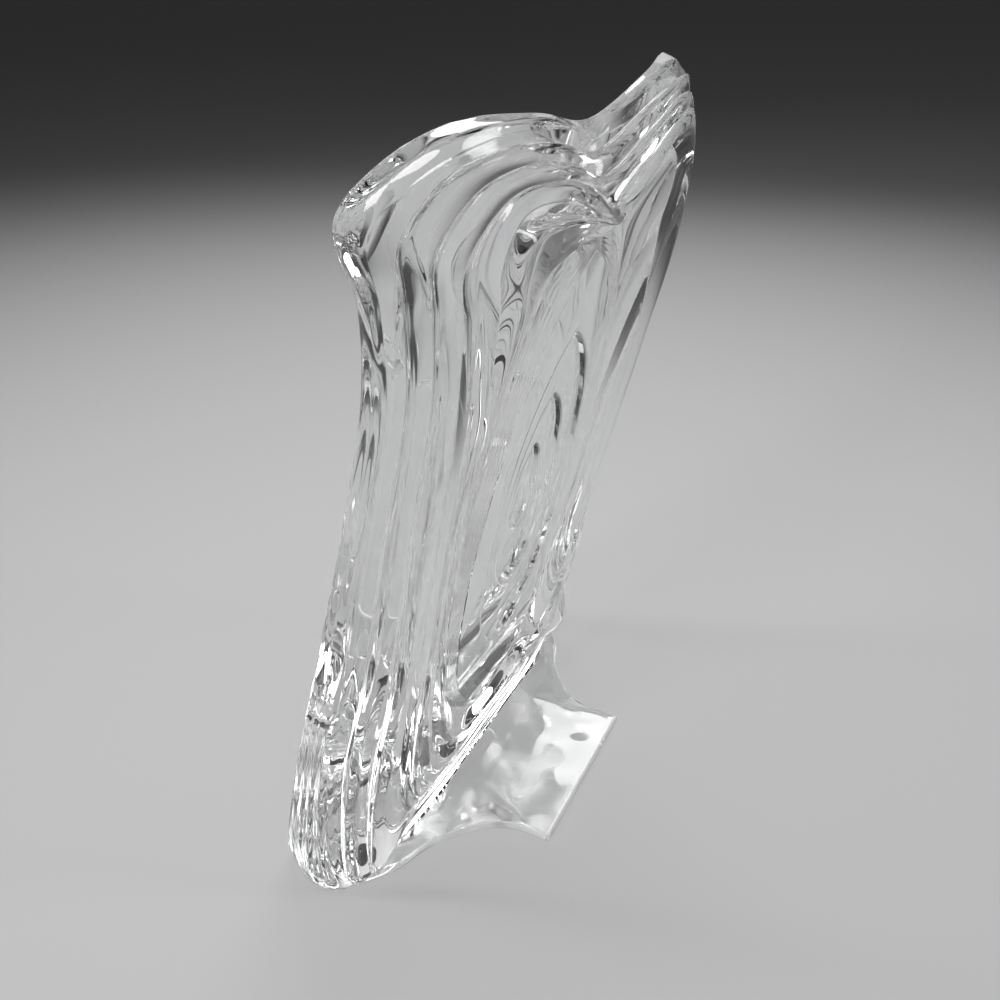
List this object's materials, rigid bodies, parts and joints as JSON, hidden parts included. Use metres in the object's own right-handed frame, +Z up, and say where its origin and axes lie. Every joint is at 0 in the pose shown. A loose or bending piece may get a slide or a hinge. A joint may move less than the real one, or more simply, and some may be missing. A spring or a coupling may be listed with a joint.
{
  "type": "crystal sculpture",
  "caption": "Clear crystal sculpture: a leaning heart-shaped body of stepped leaves round a terraced bowl, standing on a tongue-shaped foot.",
  "frame": {"origin": "on the floor, under the middle of the bounding box", "axes": "+Z up, +X forwards to the bowl and the foot, +Y to one wing; the two wings mirror each other across the XZ plane"},
  "size_m": [0.0802, 0.2104, 0.2401],
  "materials": {
    "crystal_body": "polished, clear",
    "crystal_medallion": "polished, clear",
    "crystal_foot": "polished, slightly milky on top"
  },
  "bodies": {
    "root": {"back_plate": "crystal_body", "second_leaf": "crystal_body", "third_leaf": "crystal_body", "fourth_leaf": "crystal_body", "bowl_frame": "crystal_body", "medallion_outer_ring": "crystal_medallion", "medallion_middle_ring": "crystal_medallion", "medallion_inner_ring": "crystal_medallion", "medallion_centre": "crystal_medallion", "foot": "crystal_foot"}
  },
  "joints": []
}
